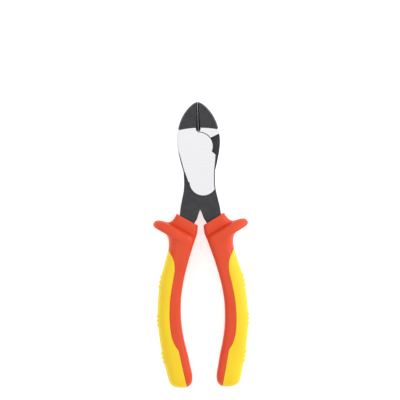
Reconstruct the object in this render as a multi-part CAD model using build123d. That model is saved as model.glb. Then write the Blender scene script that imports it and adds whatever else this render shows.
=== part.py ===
from build123d import *
from math import atan2, cos, degrees, radians, sin, tan
import os

# Insulated diagonal cutting pliers, lying flat with the jaws to +Y and the handles to -Y.
# The origin is on the pivot axis, on the ground flat of the head's underside, and +Z is
# up through the joint. The front lever carries the left jaw and the right handle, and the
# rear lever is the same forging turned over about the Y axis.

# Head and joint, in millimetres and degrees
jaw_length = 28.1  # pivot axis to jaw tip
head_half_width = 13.6
head_thickness = 11.0
tip_thickness = 6.0
tip_half_width = 0.55
joint_radius = 9.2
lever_shoulder_angle = -23.5  # polar angle of the stop shoulder beside the joint
jaw_shoulder_angle = 35.0  # polar angle of the stop shoulder under the other jaw
shoulder_rake = -4.5  # how far a shoulder's outer end is turned from its inner end
relief_hole_radius = 0.9  # blind holes at the root of the cutting edges, one on each face
relief_web = 1.2  # metal between the two relief holes
taper_start = 2.4  # the jaws start to thin this far past the joint's disc
taper_arch_radius = 60.0  # the ground flat ends in this arc where the jaws start to thin
edge_chamfer = 0.7
disc_chamfer = 0.4

# Cutting edges
edge_clearance = 0.10  # between the closed cutting edges
edge_height = 1.5  # above the mid-plane
front_bevel_angle = 20.0
back_bevel_angle = 33.0
bevel_root_distance = 0.15  # bevels end this far past the joint's disc

# Neck, from the joint to the insulation collar
neck_length = 45.65  # pivot axis to the middle of the collar's mouth
neck_thickness = 9.4
face_end_radius = 8.6  # round end of the ground flat
face_end_centre = (2.3, -22.3)
tang_start_reach = 18.0  # the lap's full-depth web starts this far below the pivot

# Fits
lap_clearance = 0.10  # between the two lapped forgings' faces
lap_edge_gap = 0.12  # beside the lap edges, measured across
rivet_radius = 4.5
rivet_head_radius = 5.6
rivet_head_depth = 1.2
rivet_running_clearance = 0.05

# Handles
handle_reach = 151.9  # pivot axis to the handle ends
guard_reach = 60.0  # pivot axis to where the plain grip starts below the guard
handle_bow = 21.3  # pivot axis to the middle of a grip at its widest place
grip_width = 15.0
grip_thickness = 17.0
grip_rounding = 5.4
tang_half_width = 3.3
tang_thickness = 7.4
tang_end_distance = 14.0  # steel stops this far short of the grip's end
tang_shoulder_depth = 1.0  # the neck's full section ends this far inside the collar
sleeve_wall = 1.2

# Collar and finger guard
collar_angle = 29.0  # the collar's mouth and the guard are square to this direction
collar_half_width = 7.25
collar_thickness = 14.6
collar_wall = 2.0  # from the collar's sides to the steel
collar_rounding = 2.6
guard_thickness = 21.0
guard_half_span = 17.2  # handle's middle line to the guard's tip
guard_distance = 12.8  # collar's mouth to the guard's tip
guard_rounding = 7.0  # corners of the guard, seen along the handle

# Soft insert on the outer side of each grip
insert_depth = 2.2

mid_height = head_thickness / 2
face_height = head_thickness
neck_step = (head_thickness - neck_thickness) / 2

# Left edge of the front lever beside and below the joint: shares of the head's half width
# and of the neck's length.
LAP_EDGE = [
    (-0.985, 0.000),
    (-0.945, 0.080),
    (-0.870, 0.184),
    (-0.735, 0.337),
    (-0.590, 0.462),
    (-0.470, 0.598),
    (-0.305, 0.710),
    (-0.135, 0.808),
    (0.030, 0.892),
    (0.130, 0.975),
]
# Right edge of the front lever's neck, from the shoulder down, in the same shares.
NECK_EDGE = [
    (0.800, 0.175),
    (0.750, 0.298),
    (0.717, 0.460),
    (0.732, 0.580),
    (0.886, 0.800),
]
# Outer edge of a jaw: shares of the head's half width and of the jaw's length.
JAW_EDGE = [
    (0.287, 0.936),
    (0.460, 0.854),
    (0.630, 0.747),
    (0.787, 0.612),
    (0.890, 0.477),
    (0.945, 0.367),
    (0.985, 0.242),
    (1.000, 0.121),
]
# Middle line of a grip below the guard: share of its length, share of the bow, and width
# as a share of the grip's width.
GRIP_STATIONS = [
    (0.000, 0.575, 1.06),
    (0.131, 0.735, 1.00),
    (0.261, 0.890, 1.01),
    (0.392, 0.974, 0.98),
    (0.522, 1.000, 1.00),
    (0.653, 0.946, 1.01),
    (0.783, 0.847, 1.07),
    (0.914, 0.735, 1.06),
]
# Line between the red grip and the yellow insert: share of the grip's length, and place
# across the grip, from -1 at its inner edge to +1 at its outer edge.
INSERT_EDGE = [
    (0.060, 0.950),
    (0.091, 0.530),
    (0.131, 0.190),
    (0.196, -0.070),
    (0.261, -0.120),
    (0.392, -0.065),
    (0.522, -0.030),
    (0.653, -0.010),
    (0.690, -0.070),
    (0.750, -0.380),
    (0.790, -0.410),
    (0.914, -0.410),
    (1.060, -0.430),
]
# Rounded end of a grip: share of its length, and the section's size there.
GRIP_END = [(0.955, 0.94), (0.985, 0.70), (1.000, 0.32)]
# Finger guard in the collar's directions: shares of the guard's outer reach across and of
# its distance below the collar's mouth.
GUARD_OUTLINE = [
    (-0.590, 0.62),
    (0.505, 0.51),
    (0.767, 0.65),
    (0.980, 0.84),
    (1.000, 1.00),
    (0.826, 1.09),
    (0.520, 1.07),
    (-0.230, 1.21),
    (-0.600, 0.98),
]


def polar(radius, angle):
    return (radius * cos(radians(angle)), radius * sin(radians(angle)))


def neck_point(across, down):
    return (across * head_half_width, -down * neck_length)


def jaw_point(across, up):
    return (across * head_half_width, up * jaw_length)


def grip_level(share):
    """Y of a station on the grip, counted from under the guard to the handle's end."""
    return -guard_reach - share * (handle_reach - guard_reach)


def between(table, share, column):
    """Straight-line reading of one column of a station table."""
    for lower, upper in zip(table, table[1:]):
        if share <= upper[0]:
            t = (share - lower[0]) / (upper[0] - lower[0])
            return lower[column] + t * (upper[column] - lower[column])
    return table[-1][column]


def grip_middle(share):
    return handle_bow * between(GRIP_STATIONS, share, 1)


def grip_half_width(share):
    return grip_width / 2 * between(GRIP_STATIONS, share, 2)


# Collar frame: its mouth is square to the direction the steel leaves it
collar_middle = (0.620 * head_half_width, -neck_length)
down_handle = polar(1, collar_angle - 90)
across_collar = polar(1, collar_angle)


def collar_point(across, down):
    """A point in the collar's own directions, from the middle of its mouth."""
    return (
        collar_middle[0] + across * across_collar[0] + down * down_handle[0],
        collar_middle[1] + across * across_collar[1] + down * down_handle[1],
    )


def mirrored(points):
    return [(-x, y) for x, y in points]


def turned_over(shape):
    """The same piece for the other lever: half a turn about the Y axis at mid-plane."""
    return Pos(0, 0, mid_height) * (Rot(0, 180, 0) * (Pos(0, 0, -mid_height) * shape))


def prism(edges, bottom, top):
    """A closed outline, extruded from one height to another."""
    face = make_face(Wire(edges))
    return extrude(Pos(0, 0, bottom) * face, amount=top - bottom, dir=(0, 0, 1))


def polygon_prism(points, bottom, top):
    return extrude(
        Pos(0, 0, bottom) * make_face(Polyline(*points, close=True)),
        amount=top - bottom,
        dir=(0, 0, 1),
    )


def tang_edge(side, allowance=0):
    """Edge of the steel inside the handle, or of what is moulded round it."""
    steel_end = handle_reach - tang_end_distance
    last = (steel_end - guard_reach) / (handle_reach - guard_reach)
    shares = [row[0] for row in GRIP_STATIONS if row[0] < last - 0.06]
    half = tang_half_width + allowance
    mouth = collar_point(side * (collar_half_width - collar_wall + allowance), 0)
    edge = [(grip_middle(share) + side * half, grip_level(share)) for share in shares]
    end = (grip_middle(last) + side * half, grip_level(last) - allowance)
    return [mouth] + edge + [end]


def lever_outline():
    """Whole outline of the front lever, seen from above."""
    half_gap = edge_clearance / 2
    tip_inner = (-half_gap, jaw_length)
    tip_outer = (-tip_half_width, jaw_length)
    jaw = [tip_outer] + mirrored([jaw_point(*p) for p in JAW_EDGE])
    lap = [jaw[-1]] + [neck_point(*p) for p in LAP_EDGE]
    inner = [lap[-1]] + tang_edge(-1)
    shoulder_outer = polar(
        0.915 * head_half_width, lever_shoulder_angle + shoulder_rake
    )
    outer = [shoulder_outer] + [neck_point(*p) for p in NECK_EDGE]
    outer += tang_edge(1)
    shoulder_inner = polar(joint_radius, lever_shoulder_angle)
    crown = (-half_gap, (joint_radius**2 - half_gap**2) ** 0.5)
    crown_angle = degrees(atan2(crown[1], crown[0]))
    rim_middle = polar(joint_radius, (lever_shoulder_angle + crown_angle) / 2)
    return [
        Line(tip_inner, tip_outer),
        Spline(*jaw, tangents=[(-1, -0.25), (0, -1)]),
        Spline(*lap, tangents=[(0, -1), (0.30, -0.95)]),
        Spline(*inner, tangents=[(0.30, -0.95), (-0.30, -0.95)]),
        Line(inner[-1], outer[-1]),
        Spline(*reversed(outer)),
        Line(shoulder_outer, shoulder_inner),
        ThreePointArc(shoulder_inner, rim_middle, crown),
        Line(crown, tip_inner),
    ]


def jaw_zone(top):
    """Where the front lever's jaw may be full depth: clear of the other lever's joint."""
    far = 2 * jaw_length
    corners = [
        (0, 0),
        polar(joint_radius, 180 - jaw_shoulder_angle),
        polar(far, 180 - jaw_shoulder_angle - 2 * shoulder_rake),
        (-far, far),
        (0, far),
    ]
    disc = Pos(0, 0, top / 2) * Cylinder(joint_radius + lap_clearance, top)
    return polygon_prism(corners, 0, top) - disc


def tang_zone(top):
    """Where its tang may be full depth: beyond the other lever's lap edge."""
    far = 2 * handle_reach
    edge = [(x + lap_edge_gap, y) for x, y in mirrored([neck_point(*p) for p in LAP_EDGE])]
    crotch = (edge[-1][0], -far)
    zone = prism(
        [
            Spline(*edge),
            Line(edge[-1], crotch),
            Line(crotch, (far, -far)),
            Line((far, -far), (far, edge[0][1])),
            Line((far, edge[0][1]), edge[0]),
        ],
        0,
        top,
    )
    return zone - Pos(0, -tang_start_reach / 2, top / 2) * Box(2 * far, tang_start_reach, top)


def lever_blank():
    """The forging before its bevels: upper half all over, lower half only at jaw and tang."""
    edges = lever_outline()
    lap_height = mid_height + lap_clearance / 2
    upper = prism(edges, lap_height, face_height)
    lower = prism(edges, 0, lap_height)
    return upper + (lower & jaw_zone(lap_height)) + (lower & tang_zone(lap_height))


def below_level(y, height, depth):
    """A slab over everything further down than a level, half sunk into a head face."""
    reach = 2 * handle_reach
    return Pos(0, y - reach / 2, height) * Box(reach, reach, 2 * depth)


def neck_recess(height, depth):
    """Everything below the round end of the ground flat, to be sunk to the neck's level."""
    x, y = face_end_centre
    round_end = Pos(x, y, height) * Cylinder(face_end_radius, 2 * depth)
    return below_level(y, height, depth) - round_end


def jaw_taper():
    """Shallow cones that thin the jaws from the head's faces to the tip, above and below."""
    start = joint_radius + taper_start
    drop = (head_thickness - tip_thickness) / 2
    slope = drop / (jaw_length - start)
    inner = taper_arch_radius
    outer = taper_arch_radius + 1.5 * (jaw_length - start)
    deep = slope * (outer - inner)
    profile = [(inner, 0), (outer, -deep), (outer, head_thickness), (inner, head_thickness)]
    section = Plane.XZ * make_face(Polyline(*profile, close=True))
    ring = revolve(section, axis=Axis.Z)
    ring = Pos(0, start - taper_arch_radius, 0) * ring
    above = Pos(0, 0, head_thickness) * ring
    below = mirror(ring, about=Plane.XY)
    front = Pos(0, start + jaw_length / 2, mid_height) * Box(
        4 * head_half_width, 2 * jaw_length, 4 * head_thickness
    )
    return (above + below) & front


def relief_holes():
    """Blind holes at the root of the cutting edges, from each face of the head."""
    web_middle = mid_height + edge_height - relief_web
    reach = head_thickness
    y = joint_radius + relief_hole_radius
    return [
        Pos(0, y, web_middle + side * (relief_web + reach) / 2)
        * Cylinder(relief_hole_radius, reach)
        for side in (1, -1)
    ]


def bevel_groove():
    """The V between the closed jaws, narrow on the front and wide on the back, with
    round run-outs at its root."""
    edge = mid_height + edge_height
    height = head_thickness
    grooves = []
    for angle, side in ((front_bevel_angle, 1), (back_bevel_angle, -1)):
        wide = height * tan(radians(angle))
        root = joint_radius + bevel_root_distance + face_width(angle, side)
        profile = [(0, edge), (wide, edge + side * height), (-wide, edge + side * height)]
        plane = Plane(origin=(0, root, 0), x_dir=(1, 0, 0), z_dir=(0, -1, 0))
        section = plane * make_face(Polyline(*profile, close=True))
        cone = Cone(0.001, wide, height)
        if side < 0:
            cone = Rot(180, 0, 0) * cone
        grooves.append(extrude(section, amount=-jaw_length))
        grooves.append(Pos(0, root, edge + side * height / 2) * cone)
    return grooves


def face_width(angle, side):
    """Half width of a cutting bevel where it meets the head's face."""
    depth = mid_height - side * edge_height
    return depth * tan(radians(angle))


def rivet_solid(clearance):
    """The pivot rivet, or with a clearance the hole that runs on it."""
    shank = Pos(0, 0, mid_height) * Cylinder(rivet_radius + clearance, head_thickness)
    cone = Cone(
        rivet_radius + clearance, rivet_head_radius + clearance, rivet_head_depth
    )
    top = Pos(0, 0, face_height - rivet_head_depth / 2) * cone
    bottom = Pos(0, 0, rivet_head_depth / 2) * (Rot(180, 0, 0) * cone)
    return shank + top + bottom


def outer_edges(lever):
    """Curved outer edges of the front ground flat and of both tapered jaw faces."""
    front = [
        face
        for face in lever.faces()
        if face.geom_type == GeomType.PLANE and face.bounding_box().min.Z > face_height - 0.01
    ]
    jaws = [face for face in lever.faces() if face.geom_type == GeomType.CONE]
    return [
        edge
        for face in front + jaws
        for edge in face.edges()
        if edge.geom_type == GeomType.BSPLINE
    ]


def disc_edge(lever):
    """Rim of the joint's disc on the front ground flat."""
    return [
        edge
        for edge in lever.edges()
        if edge.geom_type == GeomType.CIRCLE
        and abs(edge.radius - joint_radius) < 0.01
        and edge.center().Z > face_height - 0.01
    ]


def forging():
    """Front lever before its rivet hole and cutting bevels."""
    lever = lever_blank()
    lever -= neck_recess(face_height, neck_step)
    lever -= below_level(0, 0, neck_step)
    lever -= jaw_taper()
    lever = chamfer(outer_edges(lever), edge_chamfer)
    lever = chamfer(disc_edge(lever), disc_chamfer)
    spare = (neck_thickness - tang_thickness) / 2
    for height in (mid_height + tang_thickness / 2, mid_height - tang_thickness / 2 - spare):
        lever -= below_mouth(tang_shoulder_depth, height, height + spare)
    return lever


def below_mouth(down, bottom, top):
    """Everything further down the handle than a line across the collar."""
    reach = 2 * handle_reach
    corners = [
        collar_point(-reach / 3, down),
        collar_point(reach / 3, down),
        collar_point(reach / 3, down + reach),
        collar_point(-reach / 3, down + reach),
    ]
    return polygon_prism(corners, bottom, top)


def sleeve_blank():
    """Outside of the insulating sleeve, from the collar down to its closed end."""
    half = tang_thickness / 2 + sleeve_wall
    inner = tang_edge(-1, sleeve_wall)
    outer = tang_edge(1, sleeve_wall)
    block = prism(
        [
            Spline(*inner, tangents=[(0.35, -0.93), (-0.30, -0.95)]),
            Line(inner[-1], outer[-1]),
            Spline(*reversed(outer)),
            Line(outer[0], inner[0]),
        ],
        mid_height - half,
        mid_height + half,
    )
    return block & below_mouth(tang_shoulder_depth, mid_height - half, mid_height + half)


def across_grip(share, place):
    return (
        grip_middle(share) + place * grip_half_width(share),
        grip_level(share),
    )


def grip_body(inset):
    """The grip's long part, from inside the guard to its rounded end, or its inner core."""
    top = [(row[0], 1.0) for row in GRIP_STATIONS]
    top = [(-0.5 * GRIP_STATIONS[1][0], 1.0)] + top
    sections = []
    for share, size in top + GRIP_END:
        width = max(2 * (size * grip_half_width(share) - inset), 2.0)
        thickness = max(size * grip_thickness - 2 * inset, 2.0)
        rounding = min(grip_rounding - inset, 0.42 * width, 0.42 * thickness)
        level = grip_level(share) + (inset if size < 1 else 0)
        plane = Plane(
            origin=(grip_middle(share), level, mid_height), x_dir=(1, 0, 0), z_dir=(0, 1, 0)
        )
        sections.append(plane * RectangleRounded(width, thickness, rounding))
    return loft(sections)


def grip_collar():
    """Square-shouldered collar from its mouth down into the guard."""
    length = guard_distance
    plane = Plane(
        origin=(*collar_middle, mid_height),
        x_dir=(*across_collar, 0),
        z_dir=(*down_handle, 0),
    )
    section = RectangleRounded(2 * collar_half_width, collar_thickness, collar_rounding)
    return extrude(plane * section, amount=length)


def finger_guard():
    """Flange that keeps the hand off the steel, square to the collar."""
    half = guard_thickness / 2
    corners = [
        collar_point(across * guard_half_span, down * guard_distance)
        for across, down in GUARD_OUTLINE
    ]
    slab = polygon_prism(corners, mid_height - half, mid_height + half)
    width = guard_half_span * 1.62
    plane = Plane(
        origin=(*collar_point(guard_half_span - width / 2, 0), mid_height),
        x_dir=(*across_collar, 0),
        z_dir=(*down_handle, 0),
    )
    section = RectangleRounded(width, guard_thickness, guard_rounding)
    return slab & extrude(plane * section, amount=2 * guard_distance)


def insert_region():
    """Everything on the outer side of the line where red meets yellow."""
    edge = [across_grip(*place) for place in INSERT_EDGE]
    far = 2 * handle_bow
    below = (far, edge[-1][1])
    above = (far, edge[0][1])
    half = grip_thickness
    return prism(
        [Spline(*edge), Line(edge[-1], below), Line(below, above), Line(above, edge[0])],
        mid_height - half,
        mid_height + half,
    )


def grip_pieces(lever):
    """Sleeve, red grip and yellow insert of the right handle."""
    sleeve_block = sleeve_blank()
    sleeve = sleeve_block - lever
    body = grip_body(0)
    core = grip_body(insert_depth)
    insert = (body & insert_region()) - core - sleeve_block
    grip = body + grip_collar() + finger_guard()
    grip = grip - insert - sleeve_block - lever
    return sleeve, grip, insert


rivet = rivet_solid(0)
blank = forging()
edge_cuts = bevel_groove() + relief_holes()
front_lever = blank - edge_cuts - rivet
rear_lever = turned_over(blank) - edge_cuts - rivet_solid(rivet_running_clearance)
sleeve_right, grip_right, insert_right = grip_pieces(blank)

nodes = {
    "front_lever": front_lever,
    "rear_lever": rear_lever,
    "pivot_rivet": rivet,
    "sleeve_right": sleeve_right,
    "grip_right": grip_right,
    "grip_insert_right": insert_right,
    "sleeve_left": turned_over(sleeve_right),
    "grip_left": turned_over(grip_right),
    "grip_insert_left": turned_over(insert_right),
}
os.makedirs("parts", exist_ok=True)
for name, solid in nodes.items():
    export_step(solid, f"parts/{name}.step")
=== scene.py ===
import math

import bmesh
import bpy
import numpy as np
from mathutils import Matrix, Vector


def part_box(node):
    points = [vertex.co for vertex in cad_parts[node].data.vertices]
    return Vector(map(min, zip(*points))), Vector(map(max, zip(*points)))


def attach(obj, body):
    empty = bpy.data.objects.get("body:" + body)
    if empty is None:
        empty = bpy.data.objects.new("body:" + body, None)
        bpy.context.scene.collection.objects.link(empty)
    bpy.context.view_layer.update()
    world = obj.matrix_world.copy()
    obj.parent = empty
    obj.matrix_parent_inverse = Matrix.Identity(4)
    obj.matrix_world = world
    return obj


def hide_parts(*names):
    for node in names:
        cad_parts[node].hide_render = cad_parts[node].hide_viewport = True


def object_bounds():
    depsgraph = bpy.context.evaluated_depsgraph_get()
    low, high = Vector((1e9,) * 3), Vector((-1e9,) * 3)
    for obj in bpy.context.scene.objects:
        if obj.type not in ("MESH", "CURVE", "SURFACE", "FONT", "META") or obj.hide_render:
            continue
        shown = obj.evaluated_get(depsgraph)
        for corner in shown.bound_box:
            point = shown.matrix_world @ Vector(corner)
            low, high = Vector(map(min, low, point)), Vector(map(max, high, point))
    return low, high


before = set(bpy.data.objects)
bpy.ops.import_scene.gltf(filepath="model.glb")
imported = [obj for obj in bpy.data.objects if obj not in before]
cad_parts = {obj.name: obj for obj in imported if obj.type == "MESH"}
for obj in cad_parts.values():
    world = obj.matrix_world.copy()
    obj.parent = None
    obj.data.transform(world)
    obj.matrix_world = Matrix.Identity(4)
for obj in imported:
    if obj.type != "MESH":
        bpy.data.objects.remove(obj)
cad_low, cad_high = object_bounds()
MM = 0.001


# Floor, light and camera. The pliers lie on a pale sheet that glows a little, a painted glow
# that washes out the shadows cast on it and lights the pliers from below, under a wide soft box
# and a smaller one to the right; the camera looks straight down at them through a long lens.
FLOOR_DROP = 0.3 * MM
FLOOR_HALF_SIZE = 3.0
FLOOR_GREY = (0.80, 0.80, 0.80)
FLOOR_GLOW = 0.62
VIEW_CENTRE = Vector((0.0, -33.74 * MM, 8.0 * MM))
VIEW_WIDTH = 252.2 * MM
VIEW_DISTANCE = 1.3
VIEW_ROLL = math.radians(-1.45)
SENSOR = 36.0

scene = bpy.context.scene
scene.view_settings.view_transform = "Standard"


def plain_material(name, colour, roughness):
    """A material of one colour and roughness, its node tree and its main shader."""
    material = bpy.data.materials.new(name)
    material.use_nodes = True
    shader = material.node_tree.nodes["Principled BSDF"]
    shader.inputs["Base Color"].default_value = (*colour, 1.0)
    shader.inputs["Roughness"].default_value = roughness
    return material, material.node_tree, shader


def mesh_object(name, bm, materials):
    """Turn a finished bmesh into an object at the origin, with smooth shading."""
    mesh = bpy.data.meshes.new(name)
    for face in bm.faces:
        face.smooth = True
    bm.to_mesh(mesh)
    bm.free()
    for material in materials:
        mesh.materials.append(material)
    piece = bpy.data.objects.new(name, mesh)
    scene.collection.objects.link(piece)
    return piece


floor_bm = bmesh.new()
bmesh.ops.create_grid(floor_bm, x_segments=2, y_segments=2, size=FLOOR_HALF_SIZE)
bmesh.ops.translate(floor_bm, verts=floor_bm.verts, vec=(0, 0, cad_low.z - FLOOR_DROP))
floor_paint, _, floor_shader = plain_material("floor_sheet", FLOOR_GREY, 0.9)
# The sheet's glow is painted light: it washes out the shadows cast on the sheet.
floor_shader.inputs["Emission Color"].default_value = (1.0, 1.0, 1.0, 1.0)
floor_shader.inputs["Emission Strength"].default_value = FLOOR_GLOW
mesh_object("floor", floor_bm, [floor_paint])

world = bpy.data.worlds.new("studio")
world.use_nodes = True
world.node_tree.nodes["Background"].inputs["Color"].default_value = (1.0, 1.0, 1.0, 1.0)
world.node_tree.nodes["Background"].inputs["Strength"].default_value = 0.72
scene.world = world

for name, place, size, power in (
    ("top_box", (-0.1, 0.2, 1.3), 1.1, 2.2),
    ("right_box", (1.0, 0.25, 0.75), 0.45, 5.6),
):
    lamp = bpy.data.lights.new(name, "AREA")
    lamp.size = size
    lamp.energy = power
    lamp_object = bpy.data.objects.new(name, lamp)
    lamp_object.location = place
    aim = VIEW_CENTRE - Vector(place)
    lamp_object.rotation_euler = aim.to_track_quat("-Z", "Y").to_euler()
    scene.collection.objects.link(lamp_object)

camera_data = bpy.data.cameras.new("camera")
camera_data.sensor_width = SENSOR
camera_data.lens = SENSOR * VIEW_DISTANCE / VIEW_WIDTH
camera_data.clip_end = 20.0
camera = bpy.data.objects.new("camera", camera_data)
camera.location = VIEW_CENTRE + Vector((0, 0, VIEW_DISTANCE))
camera.rotation_euler = (0.0, 0.0, VIEW_ROLL)
scene.collection.objects.link(camera)
scene.camera = camera


# Front and rear levers. Two chrome-vanadium forgings with a black phosphate skin; the flats of
# the head are ground bright after assembly, and the bevels round them keep their black skin.
FLAT_DEPTH = 0.02 * MM
BLACK_SKIN = (0.036, 0.035, 0.040)
BLACK_SKIN_PALE = (0.052, 0.050, 0.056)
# Pale steel for rubbed edges, and for the painted highlight on the jaws' chamfer.
STEEL_WEAR_AND_HIGHLIGHT = (0.30, 0.30, 0.31)
GROUND_STEEL = (0.72, 0.71, 0.73)
GROUND_STEEL_PALE = (0.79, 0.78, 0.80)


def node_group(name, inputs, outputs):
    """An empty shader group with named float inputs and outputs."""
    group = bpy.data.node_groups.new(name, "ShaderNodeTree")
    for label, value in inputs:
        socket = group.interface.new_socket(
            name=label, in_out="INPUT", socket_type="NodeSocketFloat"
        )
        socket.default_value = value
    for label in outputs:
        group.interface.new_socket(
            name=label, in_out="OUTPUT", socket_type="NodeSocketFloat"
        )
    return group, group.nodes.new("NodeGroupInput"), group.nodes.new("NodeGroupOutput")


def grain_group():
    """Fine surface grain, and the slow blotches of a moulded or phosphated skin."""
    group, given, made = node_group(
        "surface_grain",
        [("Grain Scale", 4000.0), ("Blotch Scale", 120.0)],
        ["Grain", "Blotch"],
    )
    coordinates = group.nodes.new("ShaderNodeTexCoord")
    fine = group.nodes.new("ShaderNodeTexNoise")
    fine.inputs["Detail"].default_value = 3.0
    slow = group.nodes.new("ShaderNodeTexNoise")
    slow.inputs["Detail"].default_value = 4.0
    slow.inputs["Roughness"].default_value = 0.6
    for noise, scale, output in (
        (fine, "Grain Scale", "Grain"),
        (slow, "Blotch Scale", "Blotch"),
    ):
        group.links.new(coordinates.outputs["Object"], noise.inputs["Vector"])
        group.links.new(given.outputs[scale], noise.inputs["Scale"])
        group.links.new(noise.outputs["Fac"], made.inputs[output])
    return group


def wear_group():
    """Where a sharp edge has been rubbed, broken up by noise."""
    group, given, made = node_group(
        "edge_wear", [("Breakup Scale", 900.0), ("Amount", 1.0)], ["Wear"]
    )
    rounded = group.nodes.new("ShaderNodeBevel")
    rounded.samples = 4
    rounded.inputs["Radius"].default_value = 0.25 * MM
    geometry = group.nodes.new("ShaderNodeNewGeometry")
    dot = group.nodes.new("ShaderNodeVectorMath")
    dot.operation = "DOT_PRODUCT"
    turned = group.nodes.new("ShaderNodeMapRange")
    turned.inputs["From Min"].default_value = 0.985
    turned.inputs["From Max"].default_value = 0.90
    coordinates = group.nodes.new("ShaderNodeTexCoord")
    breakup = group.nodes.new("ShaderNodeTexNoise")
    breakup.inputs["Detail"].default_value = 4.0
    broken = group.nodes.new("ShaderNodeMapRange")
    broken.inputs["From Min"].default_value = 0.42
    broken.inputs["From Max"].default_value = 0.62
    both = group.nodes.new("ShaderNodeMath")
    both.operation = "MULTIPLY"
    scaled = group.nodes.new("ShaderNodeMath")
    scaled.operation = "MULTIPLY"
    link = group.links.new
    link(rounded.outputs["Normal"], dot.inputs[0])
    link(geometry.outputs["Normal"], dot.inputs[1])
    link(dot.outputs["Value"], turned.inputs["Value"])
    link(coordinates.outputs["Object"], breakup.inputs["Vector"])
    link(given.outputs["Breakup Scale"], breakup.inputs["Scale"])
    link(breakup.outputs["Fac"], broken.inputs["Value"])
    link(turned.outputs["Result"], both.inputs[0])
    link(broken.outputs["Result"], both.inputs[1])
    link(both.outputs["Value"], scaled.inputs[0])
    link(given.outputs["Amount"], scaled.inputs[1])
    link(scaled.outputs["Value"], made.inputs["Wear"])
    return group


def placed_group(tree, group, **values):
    """A shader group set in a material, with its inputs named by keyword."""
    node = tree.nodes.new("ShaderNodeGroup")
    node.node_tree = group
    for label, value in values.items():
        node.inputs[label.replace("_", " ")].default_value = value
    return node


def mixed_colour(tree, factor, low, high):
    """A colour between two, each a fixed colour or another node's output."""
    mix = tree.nodes.new("ShaderNodeMix")
    mix.data_type = "RGBA"
    tree.links.new(factor, mix.inputs["Factor"])
    for socket, value in ((mix.inputs["A"], low), (mix.inputs["B"], high)):
        if isinstance(value, tuple):
            socket.default_value = (*value, 1.0)
        else:
            tree.links.new(value, socket)
    return mix.outputs["Result"]


def mixed_value(tree, factor, low, high):
    """A value between two, each a fixed number or another node's output."""
    mix = tree.nodes.new("ShaderNodeMix")
    tree.links.new(factor, mix.inputs["Factor"])
    for socket, value in ((mix.inputs["A"], low), (mix.inputs["B"], high)):
        if isinstance(value, float):
            socket.default_value = value
        else:
            tree.links.new(value, socket)
    return mix.outputs["Result"]


def ranged(tree, value, low, high, new_low, new_high):
    """A value moved from one range to another and held inside the second."""
    node = tree.nodes.new("ShaderNodeMapRange")
    node.inputs["From Min"].default_value = low
    node.inputs["From Max"].default_value = high
    node.inputs["To Min"].default_value = new_low
    node.inputs["To Max"].default_value = new_high
    tree.links.new(value, node.inputs["Value"])
    return node.outputs["Result"]


def multiplied(tree, *factors):
    product = factors[0]
    for factor in factors[1:]:
        node = tree.nodes.new("ShaderNodeMath")
        node.operation = "MULTIPLY"
        tree.links.new(product, node.inputs[0])
        tree.links.new(factor, node.inputs[1])
        product = node.outputs["Value"]
    return product


def absolute(tree, value):
    node = tree.nodes.new("ShaderNodeMath")
    node.operation = "ABSOLUTE"
    tree.links.new(value, node.inputs[0])
    return node.outputs["Value"]


def bumped(tree, shader, height, distance, strength=1.0):
    """Relief on a material, as deep as the distance where the height is 1."""
    bump = tree.nodes.new("ShaderNodeBump")
    bump.inputs["Distance"].default_value = distance
    bump.inputs["Strength"].default_value = strength
    tree.links.new(height, bump.inputs["Height"])
    tree.links.new(bump.outputs["Normal"], shader.inputs["Normal"])


surface_grain = grain_group()
edge_wear = wear_group()


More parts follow.
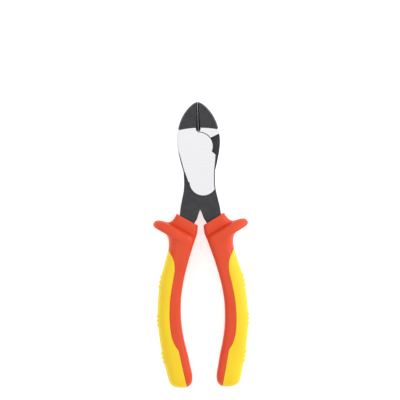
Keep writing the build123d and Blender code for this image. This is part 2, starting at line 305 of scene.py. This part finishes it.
def lever_steel():
    """Black skin all over, ground bright where the surface lies in the head's two flats."""
    material, tree, shader = plain_material("forged_steel", BLACK_SKIN, 0.42)
    shader.inputs["Specular IOR Level"].default_value = 0.3
    low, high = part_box("front_lever")
    coordinates = tree.nodes.new("ShaderNodeTexCoord")
    split = tree.nodes.new("ShaderNodeSeparateXYZ")
    tree.links.new(coordinates.outputs["Object"], split.inputs["Vector"])
    from_middle = tree.nodes.new("ShaderNodeMath")
    from_middle.operation = "SUBTRACT"
    from_middle.inputs[1].default_value = (low.z + high.z) / 2
    tree.links.new(split.outputs["Z"], from_middle.inputs[0])
    distance = absolute(tree, from_middle.outputs["Value"])
    half = (high.z - low.z) / 2
    flat = ranged(tree, distance, half - FLAT_DEPTH, half - FLAT_DEPTH / 2, 0.0, 1.0)
    facing = tree.nodes.new("ShaderNodeSeparateXYZ")
    tree.links.new(coordinates.outputs["Normal"], facing.inputs["Vector"])
    upright = absolute(tree, facing.outputs["Z"])
    sideways = absolute(tree, split.outputs["X"])
    # The chamfer round the flats is told by its slope. Beside the jaws' root it is ground
    # bright with them; the rest of it keeps its black skin.
    chamfer = multiplied(
        tree,
        ranged(tree, upright, 0.55, 0.60, 0.0, 1.0),
        ranged(tree, upright, 0.78, 0.84, 1.0, 0.0),
    )
    aslant = multiplied(
        tree,
        chamfer,
        ranged(tree, sideways, 10.0 * MM, 10.3 * MM, 0.0, 1.0),
        ranged(tree, split.outputs["Y"], -7.0 * MM, -1.0 * MM, 0.0, 1.0),
        ranged(tree, split.outputs["Y"], 10.9 * MM, 11.2 * MM, 1.0, 0.0),
        ranged(tree, distance, half - 0.8 * MM, half - 0.7 * MM, 0.0, 1.0),
    )
    ground = tree.nodes.new("ShaderNodeMath")
    ground.operation = "MAXIMUM"
    tree.links.new(flat, ground.inputs[0])
    tree.links.new(aslant, ground.inputs[1])
    ground = ground.outputs["Value"]
    grain = placed_group(tree, surface_grain, Grain_Scale=5200.0, Blotch_Scale=230.0)
    wear = placed_group(tree, edge_wear, Breakup_Scale=700.0, Amount=0.55)
    strokes = tree.nodes.new("ShaderNodeMapping")
    strokes.inputs["Rotation"].default_value = (0.0, 0.0, math.radians(12.0))
    strokes.inputs["Scale"].default_value = (60.0, 5200.0, 60.0)
    tree.links.new(coordinates.outputs["Object"], strokes.inputs["Vector"])
    lines = tree.nodes.new("ShaderNodeTexNoise")
    lines.inputs["Scale"].default_value = 1.0
    lines.inputs["Detail"].default_value = 5.0
    tree.links.new(strokes.outputs["Vector"], lines.inputs["Vector"])
    skin = mixed_colour(
        tree,
        ranged(tree, grain.outputs["Blotch"], 0.35, 0.68, 0.0, 1.0),
        BLACK_SKIN,
        BLACK_SKIN_PALE,
    )
    # On the jaws the chamfer is painted a little pale, a painted highlight for the light its
    # slope catches.
    chamfer_highlight = multiplied(
        tree, chamfer, ranged(tree, split.outputs["Y"], 9.0 * MM, 12.0 * MM, 0.0, 0.3)
    )
    skin = mixed_colour(tree, chamfer_highlight, skin, STEEL_WEAR_AND_HIGHLIGHT)
    skin = mixed_colour(tree, wear.outputs["Wear"], skin, STEEL_WEAR_AND_HIGHLIGHT)
    bright = mixed_colour(
        tree,
        ranged(tree, lines.outputs["Fac"], 0.3, 0.7, 0.0, 1.0),
        GROUND_STEEL,
        GROUND_STEEL_PALE,
    )
    tree.links.new(mixed_colour(tree, ground, skin, bright), shader.inputs["Base Color"])
    rough_skin = ranged(tree, grain.outputs["Blotch"], 0.3, 0.7, 0.36, 0.50)
    rough_ground = ranged(tree, lines.outputs["Fac"], 0.3, 0.7, 0.30, 0.42)
    tree.links.new(
        mixed_value(tree, ground, rough_skin, rough_ground), shader.inputs["Roughness"]
    )
    tree.links.new(mixed_value(tree, ground, 0.25, 1.0), shader.inputs["Metallic"])
    height = mixed_value(tree, ground, grain.outputs["Grain"], lines.outputs["Fac"])
    bumped(tree, shader, height, 0.02 * MM, 0.5)
    return material


def repaint(node, material):
    """Give a carried-over CAD node its finished material."""
    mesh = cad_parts[node].data
    mesh.materials.clear()
    mesh.materials.append(material)


forged_steel = lever_steel()
for node in ("front_lever", "rear_lever", "pivot_rivet"):
    repaint(node, forged_steel)


# Insulating sleeves. A hard ochre layer moulded on each tang; only its rim inside the collar's
# mouth can ever be seen.
SLEEVE_OCHRE = (0.72, 0.43, 0.06)


def sleeve_plastic():
    """Hard dull ochre plastic, faintly blotched."""
    material, tree, shader = plain_material("sleeve_plastic", SLEEVE_OCHRE, 0.5)
    grain = placed_group(tree, surface_grain, Grain_Scale=3000.0, Blotch_Scale=90.0)
    tint = ranged(tree, grain.outputs["Blotch"], 0.3, 0.7, 0.0, 1.0)
    colour = mixed_colour(tree, tint, SLEEVE_OCHRE, (0.80, 0.50, 0.09))
    tree.links.new(colour, shader.inputs["Base Color"])
    bumped(tree, shader, grain.outputs["Grain"], 0.02 * MM)
    return material


ochre = sleeve_plastic()
for node in ("sleeve_right", "sleeve_left"):
    repaint(node, ochre)


# Red grips. Each is one moulding round the sleeved tang: a square collar, a finger guard that
# flares to the outer side, and a bowed body with a pocket along its outer side for the insert.
#
# A station of the right grip, from the collar's mouth to the handle's end, in millimetres:
# inner edge x and y, outer edge x and y, where the middle lies from inner to outer edge, half
# thickness, half thickness at the inner edge, squareness of the section towards the inner
# and the outer edge, and where the red meets the yellow, from inner to outer edge.
NO_INSERT = 0.9985
HALF_THICKNESS = 5
SEAM_SHARE = 9
GRIP_STATIONS = [
    (2.1, -49.6, 14.6, -42.3, 0.50, 6.4, 6.4, 5.0, 5.0, NO_INSERT),
    (1.8, -49.9, 15.0, -42.2, 0.50, 6.9, 6.9, 5.0, 5.0, NO_INSERT),
    (1.9, -51.6, 15.9, -43.7, 0.50, 7.0, 7.0, 4.8, 4.8, NO_INSERT),
    (2.1, -53.8, 17.2, -45.5, 0.49, 6.8, 6.8, 4.6, 4.5, NO_INSERT),
    (2.5, -55.6, 18.8, -46.8, 0.47, 6.3, 6.3, 4.5, 4.2, NO_INSERT),
    (2.9, -56.8, 20.1, -47.2, 0.44, 5.85, 5.85, 4.4, 4.0, NO_INSERT),
    (3.15, -57.4, 21.0, -47.2, 0.425, 5.35, 5.35, 4.4, 3.8, NO_INSERT),
    (3.35, -57.9, 22.2, -46.95, 0.405, 6.9, 6.7, 4.3, 3.4, NO_INSERT),
    (3.6, -58.6, 24.2, -46.3, 0.375, 8.9, 8.4, 4.2, 3.0, NO_INSERT),
    (3.9, -59.4, 26.25, -45.95, 0.350, 9.7, 8.9, 4.0, 2.8, NO_INSERT),
    (4.25, -60.3, 27.95, -46.05, 0.336, 10.0, 9.0, 5.2, 2.6, NO_INSERT),
    (4.6, -61.2, 29.2, -46.8, 0.326, 10.25, 9.1, 5.2, 2.5, NO_INSERT),
    (4.9, -62.1, 29.9, -48.0, 0.322, 10.3, 9.1, 5.2, 2.5, NO_INSERT),
    (5.15, -62.8, 29.85, -49.4, 0.325, 10.15, 9.05, 5.2, 2.5, NO_INSERT),
    (5.30, -63.25, 28.9, -50.65, 0.342, 9.95, 9.0, 5.2, 2.5, NO_INSERT),
    (5.40, -63.6, 27.15, -51.75, 0.371, 9.8, 8.95, 5.2, 2.5, NO_INSERT),
    (5.50, -63.9, 25.0, -52.75, 0.412, 9.6, 8.9, 5.2, 2.55, NO_INSERT),
    (5.62, -64.3, 23.1, -53.8, 0.455, 9.4, 8.85, 5.2, 2.6, NO_INSERT),
    (5.85, -65.0, 21.75, -55.2, 0.480, 9.2, 8.8, 5.2, 2.65, NO_INSERT),
    (6.2, -66.0, 20.85, -56.9, 0.50, 9.0, 8.7, 5.2, 2.7, NO_INSERT),
    (6.7, -67.5, 20.4, -59.1, 0.50, 8.8, 8.6, 5.2, 2.7, NO_INSERT),
    (7.4, -69.5, 20.35, -61.8, 0.50, 8.65, 8.55, 5.2, 2.7, NO_INSERT),
    (8.0, -71.4, 20.7, -64.4, 0.50, 8.55, 8.5, 5.2, 2.7, NO_INSERT),
    (8.3, -72.3, 21.0, -65.3, 0.50, 8.5, 8.5, 5.2, 2.7, 0.925),
    (8.9, -74.5, 21.7, -67.8, 0.50, 8.5, 8.5, 5.2, 2.7, 0.720),
    (9.6, -76.9, 22.6, -70.8, 0.50, 8.5, 8.5, 5.2, 2.7, 0.575),
    (10.5, -80.3, 23.9, -75.0, 0.50, 8.5, 8.5, 5.2, 2.7, 0.480),
    (11.6, -84.8, 25.6, -80.4, 0.50, 8.5, 8.5, 5.2, 2.7, 0.446),
    (12.6, -90.0, 27.0, -86.8, 0.50, 8.5, 8.5, 5.2, 2.7, 0.446),
    (13.45, -96.0, 27.9, -94.0, 0.50, 8.5, 8.5, 5.2, 2.7, 0.461),
    (13.8, -102.0, 28.5, -101.0, 0.50, 8.5, 8.5, 5.2, 2.7, 0.472),
    (13.8, -108.0, 28.75, -108.0, 0.50, 8.5, 8.5, 5.2, 2.7, 0.475),
    (13.4, -114.0, 28.35, -115.0, 0.50, 8.5, 8.5, 5.2, 2.7, 0.480),
    (12.75, -118.8, 27.8, -120.4, 0.50, 8.5, 8.5, 5.2, 2.7, 0.468),
    (12.1, -122.4, 27.25, -124.6, 0.50, 8.5, 8.5, 5.2, 2.7, 0.424),
    (11.6, -124.9, 26.85, -127.4, 0.50, 8.5, 8.5, 5.2, 2.7, 0.370),
    (11.2, -126.6, 26.65, -129.3, 0.50, 8.5, 8.5, 5.2, 2.7, 0.312),
    (11.05, -127.3, 26.55, -130.1, 0.50, 8.5, 8.5, 5.2, 2.7, 0.298),
    (10.85, -128.1, 26.4, -131.0, 0.50, 8.5, 8.5, 5.2, 2.7, 0.297),
    (9.9, -132.3, 25.6, -135.2, 0.50, 8.5, 8.5, 5.2, 2.7, 0.303),
    (8.9, -137.6, 24.3, -140.2, 0.50, 8.5, 8.5, 5.2, 2.7, 0.308),
    (7.9, -142.6, 23.3, -144.6, 0.50, 8.5, 8.5, 5.2, 2.7, 0.309),
    (7.6, -146.2, 22.6, -147.3, 0.50, 8.3, 8.3, 4.6, 2.7, 0.290),
    (8.1, -148.8, 21.7, -149.3, 0.50, 7.7, 7.7, 3.8, 2.6, 0.245),
    (9.2, -150.45, 20.2, -150.7, 0.50, 6.5, 6.5, 3.0, 2.4, 0.180),
    (10.4, -151.35, 18.7, -151.45, 0.50, 5.0, 5.0, 2.6, 2.3, 0.085),
    (11.6, -151.8, 16.9, -151.8, 0.50, 3.2, 3.2, 2.4, 2.2, 0.040),
]
INSERT_START = 22  # the station where the insert's point lies
INSERT_DEPTH = 2.0
POCKET_SHARE = 0.6  # deepest the pocket may go, of the half thickness
POCKET_RUNOUT = 0.125  # stations over which the pocket gains its depth
POCKET_END = 42  # the station from which the pocket's floor is drawn straight across
POCKET_END_RUN = 2  # stations over which it is
SEAM_ROUNDING = 0.28
SEAM_GAP = 0.06
STRAIGHT_INSET = 1.4 * SEAM_ROUNDING  # the straight floor's ends below the seams
SWELL_SHARE = 0.6  # part of the width in which the inner edge's thickness gives way
RING_STEP = 0.45
COLLAR_RIM = 1.1
COLLAR_RECESS = 0.5
COLLAR_DOWN = np.array((0.485, -0.875, 0.0))  # square to the collar's mouth
END_STEPS = np.array([0.0, 0.08, 0.25, 0.55, 1.0])  # of the seam's rounding
OUTSIDE_POINTS = 66
POCKET_POINTS = 30


def grip_station(place):
    """Smooth reading of the grip's stations at a place between two of them."""
    first = min(int(place), len(GRIP_STATIONS) - 2)
    part = place - first
    last = len(GRIP_STATIONS) - 1
    before, start, end, after = (
        np.array(GRIP_STATIONS[max(0, min(last, first + step))]) for step in (-1, 0, 1, 2)
    )
    smooth = 0.5 * (
        2 * start
        + (end - before) * part
        + (2 * before - 5 * start + 4 * end - after) * part**2
        + (3 * start - before - 3 * end + after) * part**3
    )
    smooth[SEAM_SHARE] = min(smooth[SEAM_SHARE], NO_INSERT)
    return smooth


def ring_places(first):
    """Where the rings of a loft stand, close enough together for the ribs."""
    places = [float(first)]
    for index in range(first, len(GRIP_STATIONS) - 1):
        here, there = GRIP_STATIONS[index], GRIP_STATIONS[index + 1]
        inner = math.dist(here[0:2], there[0:2])
        outer = math.dist(here[2:4], there[2:4])
        count = max(2, math.ceil(max(inner, outer) / RING_STEP))
        places += [index + (step + 1) / count for step in range(count)]
    return places


def grip_section(station, angles, inset):
    """Points of a rounded section, by angle from the outer edge round over the top."""
    inner_x, inner_y, outer_x, outer_y, middle, half, inner_half = station[:7]
    inner_square, outer_square = station[7:9]
    width = math.hypot(outer_x - inner_x, outer_y - inner_y)
    along_x, along_y = (outer_x - inner_x) / width, (outer_y - inner_y) / width
    inward, outward = middle * width, (1 - middle) * width
    cosine, sine = np.cos(angles), np.sin(angles)
    reach = np.where(cosine > 0, outward, inward) - inset
    square = np.where(cosine > 0, outer_square, inner_square)
    across = np.sign(cosine) * reach * np.abs(cosine) ** (2 / square)
    swell = np.clip((across + inward) / (SWELL_SHARE * width), 0, 1)
    swell = swell * swell * (3 - 2 * swell)
    thick = inner_half + (half - inner_half) * swell - inset
    up = np.sign(sine) * thick * np.abs(sine) ** (2 / square)
    from_inner = across + inward
    return np.stack(
        (inner_x + along_x * from_inner, inner_y + along_y * from_inner, up), axis=1
    )


def seam_angle(station):
    """Angle at which the top face passes from yellow to red."""
    middle, _, _, inner_square, outer_square, seam = station[4:]
    side, square = (1 - middle, outer_square) if seam > middle else (middle, inner_square)
    share = abs(seam - middle) / side
    return math.acos(math.copysign(share ** (square / 2), seam - middle))


def fine_angles(start, stop):
    """Many angles between two, closest together at the quarter turns, where a little turn
    makes a long way along a squarish section."""
    nearby = np.geomspace(1e-9, 0.06, 60)
    stretches = [np.linspace(start, stop, 241)]
    for quarter in range(-2, 5):
        middle = quarter * math.pi / 2
        stretches += [middle - nearby, middle + nearby]
    return np.unique(np.clip(np.concatenate(stretches), start, stop))


def arc_angles(station, start, stop, count, margin):
    """Angles that part a stretch of the section evenly, with close steps at both ends, and
    how far each lies from the nearer end."""
    fine = fine_angles(start, stop)
    points = grip_section(station, fine, 0.0)
    steps = np.linalg.norm(np.diff(points, axis=0), axis=1)
    run = np.concatenate(([0.0], np.cumsum(steps)))
    length = run[-1]
    close = min(SEAM_ROUNDING, length / 6)
    ends = close * END_STEPS + min(margin, length / 8)
    inside = np.linspace(ends[-1], length - ends[-1], count - 2 * len(ends) + 2)[1:-1]
    want = np.concatenate((ends, inside, (length - ends)[::-1]))
    from_end = np.minimum(want, length - want) - ends[0]
    return np.interp(want, run, fine), from_end


def seam_dip(from_end, share):
    """How far a moulding's edge is rounded down beside the seam."""
    part = np.clip(1 - from_end / SEAM_ROUNDING, 0, 1)
    return share * SEAM_ROUNDING * (1 - np.sqrt(1 - part * part))


def opened(place):
    """How far the pocket has opened: 0 above the insert, 1 along it."""
    return min(max((place - INSERT_START) / POCKET_RUNOUT, 0.0), 1.0)


def squared_off(station, place, floor, clearance):
    """Bring the pocket's floor straight across from seam to seam at the handle's end."""
    part = min(max((place - POCKET_END) / POCKET_END_RUN, 0.0), 1.0)
    seam = seam_angle(station)
    below, above = grip_section(station, np.array((-seam, seam)), STRAIGHT_INSET)
    share = np.linspace(0.0, 1.0, len(floor))[:, None]
    outward = np.array((station[2] - station[0], station[3] - station[1], 0.0))
    outward *= clearance / math.hypot(outward[0], outward[1])
    straight = below * (1 - share) + above * share + outward
    return floor * (1 - part) + straight * part


def red_ring(place):
    """Outside of the red grip round its inner side, and the floor of its pocket."""
    station = grip_station(place)
    seam = seam_angle(station)
    angles, from_end = arc_angles(station, seam, 2 * math.pi - seam, OUTSIDE_POINTS, 0.0)
    outside = grip_section(station, angles, seam_dip(from_end, opened(place)))
    floor_angles, _ = arc_angles(station, -seam, seam, POCKET_POINTS, 0.0)
    depth = min(INSERT_DEPTH * opened(place), POCKET_SHARE * station[HALF_THICKNESS])
    floor_of_pocket = grip_section(station, floor_angles, depth)
    floor_of_pocket = squared_off(station, place, floor_of_pocket, 0.0)
    return np.concatenate((outside, floor_of_pocket))


def mouth_rings():
    """The collar's mouth: its sunken face and the inner edge of its rim."""
    station = grip_station(0.0)
    seam = seam_angle(station)
    angles, _ = arc_angles(station, seam, 2 * math.pi - seam, OUTSIDE_POINTS, 0.0)
    outer_angles, _ = arc_angles(station, -seam, seam, POCKET_POINTS, 0.0)
    rim = grip_section(station, np.concatenate((angles, outer_angles)), COLLAR_RIM)
    return [rim + COLLAR_RECESS * COLLAR_DOWN, rim]


def lofted(rings, side):
    """One closed skin over a run of rings: a grid wrapped round them, its edges welded, and
    both ends filled. The left grip is the right one mirrored."""
    around = len(rings[0])
    bm = bmesh.new()
    bmesh.ops.create_grid(bm, x_segments=around, y_segments=len(rings) - 1, size=1.0)
    middle_z = (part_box("front_lever")[0].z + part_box("front_lever")[1].z) / 2
    for vert in bm.verts:
        column = round((vert.co.x + 1) / 2 * around) % around
        row = round((vert.co.y + 1) / 2 * (len(rings) - 1))
        x, y, z = rings[row][column]
        vert.co = (side * x * MM, y * MM, z * MM + middle_z)
    bmesh.ops.remove_doubles(bm, verts=bm.verts, dist=0.002 * MM)
    bmesh.ops.dissolve_degenerate(bm, dist=0.0005 * MM, edges=bm.edges)
    rim = [edge for edge in bm.edges if edge.is_boundary]
    bmesh.ops.holes_fill(bm, edges=rim, sides=0)
    bmesh.ops.recalc_face_normals(bm, faces=bm.faces)
    return bm


def moulded_red():
    """Hard satin red plastic with a fine spark-eroded grain."""
    red = (0.80, 0.086, 0.030)
    deep_red = (0.77, 0.074, 0.024)
    material, tree, shader = plain_material("red_plastic", red, 0.40)
    shader.inputs["Specular IOR Level"].default_value = 0.25
    grain = placed_group(tree, surface_grain, Grain_Scale=3600.0, Blotch_Scale=55.0)
    tint = ranged(tree, grain.outputs["Blotch"], 0.3, 0.7, 0.0, 1.0)
    tree.links.new(mixed_colour(tree, tint, red, deep_red), shader.inputs["Base Color"])
    rough = ranged(tree, grain.outputs["Grain"], 0.3, 0.7, 0.34, 0.50)
    tree.links.new(rough, shader.inputs["Roughness"])
    bumped(tree, shader, grain.outputs["Grain"], 0.03 * MM)
    return material


red_plastic = moulded_red()
SIDES = (("right", 1, "front_half"), ("left", -1, "rear_half"))
for side_name, side, body in SIDES:
    grip_bm = lofted(mouth_rings() + [red_ring(place) for place in ring_places(0)], side)
    grip = mesh_object(f"red_grip_{side_name}", grip_bm, [red_plastic])
    grip.data.set_sharp_from_angle(angle=math.radians(50.0))
    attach(grip, body)
    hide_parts(f"grip_{side_name}")


# Yellow inserts. Soft elastomer moulded into the pocket on each grip's outer side, pointed at
# the top, with three groups of three low ribs where the palm and fingers close.
RIB_LEVELS = (-81.8, -84.8, -87.7, -106.4, -109.3, -112.1, -129.8, -132.6, -135.3)
RIB_HEIGHT = 0.7
RIB_HALF_WIDTH = 1.15
RIB_REACH = 0.80
POCKET_CLEARANCE = 0.08


def rib_height(station, points):
    """Outward swelling of each point where a rib crosses the outer side."""
    outer_y = station[3]
    away = min(abs(outer_y - level) for level in RIB_LEVELS)
    if away >= RIB_HALF_WIDTH:
        return 0.0 * points[:, 2]
    crest = RIB_HEIGHT * (0.5 + 0.5 * math.cos(math.pi * away / RIB_HALF_WIDTH))
    share = np.clip(np.abs(points[:, 2]) / (RIB_REACH * station[HALF_THICKNESS]), 0, 1)
    return crest * (1 - share**3)


def yellow_ring(place):
    """Outside of the insert round its outer side, and its back against the pocket."""
    station = grip_station(place)
    seam = seam_angle(station)
    angles, from_end = arc_angles(station, -seam, seam, OUTSIDE_POINTS, SEAM_GAP)
    outside = grip_section(station, angles, seam_dip(from_end, 1.0))
    width = math.dist(station[0:2], station[2:4])
    along = np.array((station[2] - station[0], station[3] - station[1], 0.0)) / width
    outside += rib_height(station, outside)[:, None] * along
    back_angles, _ = arc_angles(station, -seam, seam, POCKET_POINTS, SEAM_GAP)
    depth = min(INSERT_DEPTH, POCKET_SHARE * station[HALF_THICKNESS]) - POCKET_CLEARANCE
    back = grip_section(station, back_angles, depth)
    back = squared_off(station, place, back, POCKET_CLEARANCE)
    return np.concatenate((outside, back[::-1]))


def moulded_yellow():
    """Soft matt elastomer, a little warmer in random blotches, with a very fine grain."""
    yellow = (0.97, 0.69, 0.012)
    deep_yellow = (0.95, 0.64, 0.008)
    material, tree, shader = plain_material("yellow_elastomer", yellow, 0.48)
    shader.inputs["Specular IOR Level"].default_value = 0.45
    grain = placed_group(tree, surface_grain, Grain_Scale=5200.0, Blotch_Scale=45.0)
    tint = ranged(tree, grain.outputs["Blotch"], 0.3, 0.7, 0.0, 1.0)
    tree.links.new(mixed_colour(tree, tint, yellow, deep_yellow), shader.inputs["Base Color"])
    rough = ranged(tree, grain.outputs["Grain"], 0.3, 0.7, 0.42, 0.56)
    tree.links.new(rough, shader.inputs["Roughness"])
    bumped(tree, shader, grain.outputs["Grain"], 0.03 * MM)
    return material


yellow_elastomer = moulded_yellow()
for side_name, side, body in SIDES:
    insert_bm = lofted([yellow_ring(place) for place in ring_places(INSERT_START)], side)
    insert = mesh_object(f"yellow_insert_{side_name}", insert_bm, [yellow_elastomer])
    insert.data.set_sharp_from_angle(angle=math.radians(50.0))
    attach(insert, body)
    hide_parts(f"grip_insert_{side_name}")
